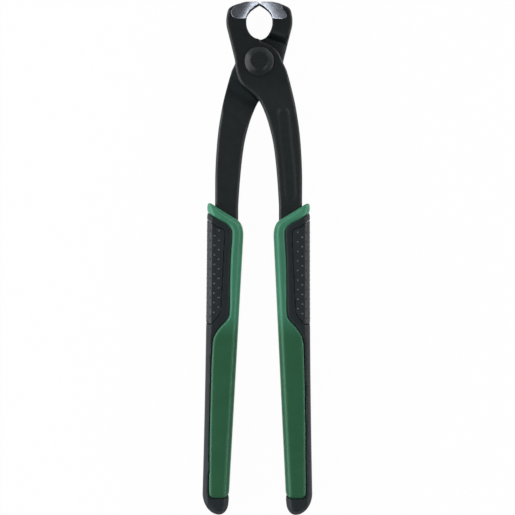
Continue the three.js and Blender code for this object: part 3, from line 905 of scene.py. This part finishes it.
# Smoothing passes in the collar's mouth, on a shell after its bevel, on a cover before and after
# its seams are closed, and on a pad before and after its shoulder is squared
MOUTH_PASSES = 3
BEAD_PASSES = 1
COVER_PASSES = (5, 2)
PAD_PASSES = 3
# How near the pad the cover's edge stays sharper, and how wide the dull grooves with painted shade
# are on the cover
PAD_REACH = 1.3 * MM
PAD_GROOVE = 0.5 * MM
SHELL_GROOVE = 0.35 * MM


def by_the_mouth(place):
    """Whether a place is on the walls round the arm, inside the collar."""
    inside = MOUTH[0] < place.x < MOUTH[1] and abs(place.z - MIDDLE) < MOUTH_HALF
    return inside and place.y > MOUTH_DEPTH


def along_the_grip(place):
    """Whether a place is below the collar or on its finger side."""
    return (place.y < COLLAR_END or place.x < FINGER_SIDE) and not by_the_mouth(place)


def palm_centre(y):
    """Where the palm side's rounding has its centre. The palm side bows out towards the end."""
    share = max(0, (PALM_START - y) / PALM_LENGTH)
    return PALM_OUT + PALM_BOW * share ** 2 - PALM_ROUND


def square_shoulder(bm):
    """Runs the flat faces on to a crease, where the rounded palm side leans steeply already. The
    collar stays round."""
    lift = PALM_ROUND * (1 - math.cos(SHOULDER_LEAN))
    for vert in bm.verts:
        out = vert.co.x - palm_centre(vert.co.y)
        if out > 0:
            drop = PALM_ROUND - math.sqrt(max(0, PALM_ROUND ** 2 - out ** 2))
            height = vert.co.z - MIDDLE
            deep = min(1, abs(height) / (MIDDLE - drop))
            deep *= min(1, max(0, (COLLAR_END - vert.co.y) / COLLAR_FADE))
            vert.co.z += math.copysign(min(lift, drop) * deep, height)


def close_seams(bm, neighbour):
    """Draws a soft piece up to its neighbour's surface, but for a hair's width."""
    for vert in bm.verts:
        hit, _, _, away = neighbour.find_nearest(vert.co, SEAM_FROM)
        if hit is not None and away > SEAM:
            share = min(1, (SEAM_FROM - away) / (SEAM_FROM - SEAM_TO))
            vert.co += (hit - vert.co) * share * (1 - SEAM / away)


def bevel_seam(bm, neighbour, width, slope):
    """Cuts the edge towards the seam with a neighbour's surface down to a slope."""
    for vert in bm.verts:
        hit, _, _, away = neighbour.find_nearest(vert.co, width)
        if hit is not None:
            height = vert.co.z - MIDDLE
            limit = MIDDLE - slope * (width - away)
            vert.co.z = MIDDLE + math.copysign(min(abs(height), limit), height)


class NIPPERS_OT_mould_shells(Operator):
    """Mould the hard green shells with their rounded shoulders along the seams"""

    bl_idname = "nippers.mould_shells"
    bl_label = "Mould shells"

    def execute(self, context):
        shell = even_skin(merged_copy("right_grip_shell"), sizes().shell_grid)
        soften(shell, MOUTH_PASSES, by_the_mouth)
        soften(shell, sizes().collar_softness, lambda place: not by_the_mouth(place))
        soften(shell, sizes().shell_softness - sizes().collar_softness, along_the_grip)
        square_shoulder(shell)
        cover = surface_of("right_grip_cover")
        bevel_seam(shell, cover, sizes().bead_width, sizes().bead_slope)
        soften(shell, BEAD_PASSES)
        plastic = moulded_polypropylene(
            colours().shell, colours().painted_light_shell, colours().shell_glint
        )
        add_twins("grip_shell", lambda node: node + "_moulding", shell, [plastic])
        return {"FINISHED"}


class NIPPERS_OT_mould_covers(Operator):
    """Mould the soft black covers along the palm sides and round the grips' ends"""

    bl_idname = "nippers.mould_covers"
    bl_label = "Mould covers"

    def execute(self, context):
        pad = surface_of("right_grip_pad")
        shell = surface_of("right_grip_shell")
        cover = even_skin(merged_copy("right_grip_cover"), sizes().rubber_grid)
        soften(
            cover, sizes().rubber_softness,
            lambda place: pad.find_nearest(place, PAD_REACH)[0] is None,
        )
        soften(cover, COVER_PASSES[0])
        close_seams(cover, shell)
        close_seams(cover, pad)
        square_shoulder(cover)
        bevel_seam(cover, shell, *COVER_BEVEL)
        soften(cover, COVER_PASSES[1])
        # The edges in the grooves beside the pad and the lower half of the shell are dull and
        # painted darker: painted shade for the shadow in the grooves.
        for face in cover.faces:
            place = face.calc_center_median()
            groove = pad.find_nearest(place, PAD_GROOVE)[0] is not None
            if place.y < PAINTED_LIGHT_SPAN[1] and not groove:
                groove = shell.find_nearest(place, SHELL_GROOVE)[0] is not None
            face.material_index = 1 if groove else 0
        colour = colours().rubber
        blasted = {"grit": 0.28 * MM, "depth": 0.03 * MM}
        rubbers = [
            moulded_rubber("moulded_black_rubber", colour, **blasted, roughness=0.5, sheen=0.3),
            # A darker copy of the rubber: painted shade in the grooves.
            moulded_rubber(
                "dull_painted_shade_rubber", shade(colour, 0.65), **blasted, roughness=0.8, sheen=0.12,
            ),
        ]
        add_twins("grip_cover", lambda node: node + "_moulding", cover, rubbers)
        return {"FINISHED"}


def dot_places(surface):
    """Where the dots stand: staggered columns from the front flat, round the palm, to the back."""
    for face in (1, -1):
        for column, (out, height, lean) in enumerate(DOT_COLUMNS):
            if face < 0 and height == 0:
                continue
            lean = math.radians(lean)
            way = Vector((math.sin(lean), 0, face * math.cos(lean)))
            for row in range(DOT_ROW_COUNT):
                y = DOT_ROWS[face][column % 2] - row * sizes().dot_pitch
                place = Vector((palm_centre(y) + out * MM, y, MIDDLE + face * height * MM))
                hit, normal, _, _ = surface.ray_cast(place + way * DOT_SEARCH, -way, 2 * DOT_SEARCH)
                if hit is not None and normal.dot(way) > LEVEL:
                    yield hit, normal, lean > 0


class NIPPERS_OT_mould_pads(Operator):
    """Mould the soft pads with their staggered columns of dots"""

    bl_idname = "nippers.mould_pads"
    bl_label = "Mould pads"

    def execute(self, context):
        pad = even_skin(merged_copy("right_grip_pad"), sizes().rubber_grid * PAD_FINENESS)
        soften(pad, PAD_PASSES)
        square_shoulder(pad)
        soften(pad, PAD_PASSES)
        # The pad is sunk by the dots' height, less and less towards the palm side.
        pad.normal_update()
        for vert in pad.verts:
            vert.co.z -= sizes().dot_rise * vert.normal.z * abs(vert.normal.z)
        surface = BVHTree.FromBMesh(pad)
        radius = sizes().dot_width / 2
        dots = bmesh.new()
        for place, normal, on_palm in dot_places(surface):
            made = bmesh.ops.create_uvsphere(dots, u_segments=12, v_segments=8, radius=radius)
            turn = normal.to_track_quat("Z", "Y").to_matrix().to_4x4()
            rise = sizes().dot_rise * (1 - PALM_WEAR * abs(normal.x) ** 3)
            flatten = Matrix.Diagonal((1, 1, rise / radius, 1))
            bmesh.ops.transform(
                dots, matrix=Matrix.Translation(place) @ turn @ flatten, verts=made["verts"]
            )
            for vert in made["verts"]:
                for face in vert.link_faces:
                    face.material_index = 1 if on_palm else 0
        colour = colours().pad
        grained = moulded_rubber(
            "grained_black_rubber", colour, grit=0.7 * MM, depth=0.12 * MM,
            roughness=0.46, sheen=0.46,
        )
        add_twins("grip_pad", lambda node: node + "_moulding", pad, [grained])
        # The dots are smoother than the pad. Those of the flats are painted lighter, a painted
        # highlight, and those of the palm side darker, painted shade.
        smoothed = {"grit": 0.3 * MM, "depth": 0.01 * MM}
        painted_dot_rubbers = [
            moulded_rubber(
                "painted_highlight_dot_rubber", shade(colour, 3.6), **smoothed, roughness=0.3, sheen=1.0,
            ),
            moulded_rubber(
                "painted_shade_dot_rubber", shade(colour, 0.6), **smoothed, roughness=0.4, sheen=0.35,
            ),
        ]
        add_twins("grip_pad", lambda node: node + "_dots", dots, painted_dot_rubbers)
        return {"FINISHED"}


# Studio

# Each softbox's direction, as degrees from the right towards the jaws and degrees above the floor;
# its distance, height and length in metres; its share of the light that falls on a level surface
SOFTBOXES = {
    "left_softbox": (180, 22, 1.3, 0.95, 1.8, 0.4),
    "right_softbox": (0, 18, 1.3, 0.45, 1.8, 0.16),
    "jaw_end_softbox": (90, 22, 1.3, 0.6, 1.2, 0.03),
    "grip_end_softbox": (270, 22, 1.3, 0.6, 1.2, 0.02),
    "left_corner_card": (135, 18, 1.3, 0.4, 0.9, 0.045),
    "right_corner_card": (45, 18, 1.3, 0.4, 0.9, 0.07),
    "left_card": (208, 55, 1.4, 0.26, 0.8, 0.1),
    "right_card": (332, 58, 1.4, 0.26, 0.8, 0.1),
}
AIM = Vector((0, -100 * MM, 0))
# Light from the room all round
SKY = 0.09
# How white the floor shows, how far it lies below the tool, and how far it reaches, in metres
FLOOR_GLOW = 0.975
FLOOR_DROP = 0.02 * MM
FLOOR_REACH = 15
# The photo was taken straight down from this height above the middle plane, off the pivot by this
# much and turned a little; it is this many pixels across, of this size in the middle plane
CAMERA_HEIGHT = 1500 * MM
CAMERA_OFF = (-0.48 * MM, -107.1 * MM)
CAMERA_TURN = math.radians(0.235)
PHOTO_WIDTH = 515
PIXEL = 0.5475 * MM


def hang_softbox(name, heading, rise, distance, height, length, share):
    """An area light that gives its share of the light on a level surface at the tool."""
    heading, rise = math.radians(heading), math.radians(rise)
    way = Vector((
        math.cos(heading) * math.cos(rise), math.sin(heading) * math.cos(rise), math.sin(rise),
    ))
    lamp = bpy.data.lights.new(name, "AREA")
    lamp.shape = "RECTANGLE"
    lamp.size = length
    lamp.size_y = height
    lamp.energy = share * math.pi * math.pi * distance ** 2 / math.sin(rise)
    box = bpy.data.objects.new(name, lamp)
    box.location = AIM + way * distance
    box.rotation_euler = way.to_track_quat("Z", "Y").to_euler()
    bpy.context.scene.collection.objects.link(box)


class NIPPERS_OT_lay_stage(Operator):
    """Lay the white floor, hang the softboxes and set the camera straight above the tool"""

    bl_idname = "nippers.lay_stage"
    bl_label = "Lay stage"

    def execute(self, context):
        sheet = bmesh.new()
        bmesh.ops.create_grid(sheet, x_segments=1, y_segments=1, size=FLOOR_REACH)
        bmesh.ops.translate(sheet, verts=sheet.verts, vec=(0, 0, -FLOOR_DROP))
        mesh = bpy.data.meshes.new("floor")
        sheet.to_mesh(mesh)
        sheet.free()
        mesh.materials.append(white_floor(colours().floor, FLOOR_GLOW))
        floor = bpy.data.objects.new("floor", mesh)
        context.scene.collection.objects.link(floor)
        floor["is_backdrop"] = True

        for name, values in SOFTBOXES.items():
            hang_softbox(name, *values)
        world = bpy.data.worlds.new("studio")
        world.use_nodes = True
        sky = world.node_tree.nodes["Background"]
        sky.inputs["Color"].default_value = (1, 1, 1, 1)
        sky.inputs["Strength"].default_value = SKY
        context.scene.world = world

        lens = bpy.data.cameras.new("camera")
        lens.sensor_width = 36
        lens.lens = lens.sensor_width * CAMERA_HEIGHT / (PHOTO_WIDTH * PIXEL)
        lens.clip_start = 0.05
        lens.clip_end = 100
        camera = bpy.data.objects.new("camera", lens)
        camera.location = (*CAMERA_OFF, MIDDLE + CAMERA_HEIGHT)
        camera.rotation_euler = (0, 0, CAMERA_TURN)
        context.scene.collection.objects.link(camera)
        context.scene.camera = camera
        context.scene.view_settings.view_transform = "Standard"
        return {"FINISHED"}


class NIPPERS_PT_pieces(Panel):
    """Every step of the tool and its studio, with the sizes and colours behind them"""

    bl_idname = "NIPPERS_PT_pieces"
    bl_label = "Rebar tying pliers"
    bl_space_type = "VIEW_3D"
    bl_region_type = "UI"
    bl_category = "Nippers"

    def draw(self, context):
        layout = self.layout
        for step in STEPS:
            layout.operator(step.bl_idname)
        for group in (context.scene.nippers_sizes, context.scene.nippers_colours):
            box = layout.box()
            for key in group.__annotations__:
                box.prop(group, key)


STEPS = (
    NIPPERS_OT_forge_levers,
    NIPPERS_OT_grind_jaws,
    NIPPERS_OT_set_rivet,
    NIPPERS_OT_mould_shells,
    NIPPERS_OT_mould_covers,
    NIPPERS_OT_mould_pads,
    NIPPERS_OT_lay_stage,
)
CLASSES = (NippersSizes, NippersColours, *STEPS, NIPPERS_PT_pieces)


def register():
    for cls in CLASSES:
        bpy.utils.register_class(cls)
    bpy.types.Scene.nippers_sizes = PointerProperty(type=NippersSizes)
    bpy.types.Scene.nippers_colours = PointerProperty(type=NippersColours)


def unregister():
    del bpy.types.Scene.nippers_colours
    del bpy.types.Scene.nippers_sizes
    for cls in reversed(CLASSES):
        bpy.utils.unregister_class(cls)


def main():
    register()
    bpy.ops.nippers.forge_levers()
    bpy.ops.nippers.grind_jaws()
    bpy.ops.nippers.set_rivet()
    bpy.ops.nippers.mould_shells()
    bpy.ops.nippers.mould_covers()
    bpy.ops.nippers.mould_pads()
    bpy.ops.nippers.lay_stage()
    boxes = {"cad": CAD_BOX, "visual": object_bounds()}
    {key: [list(corner) for corner in box] for key, box in boxes.items()}


if __name__ == "__main__":
    main()
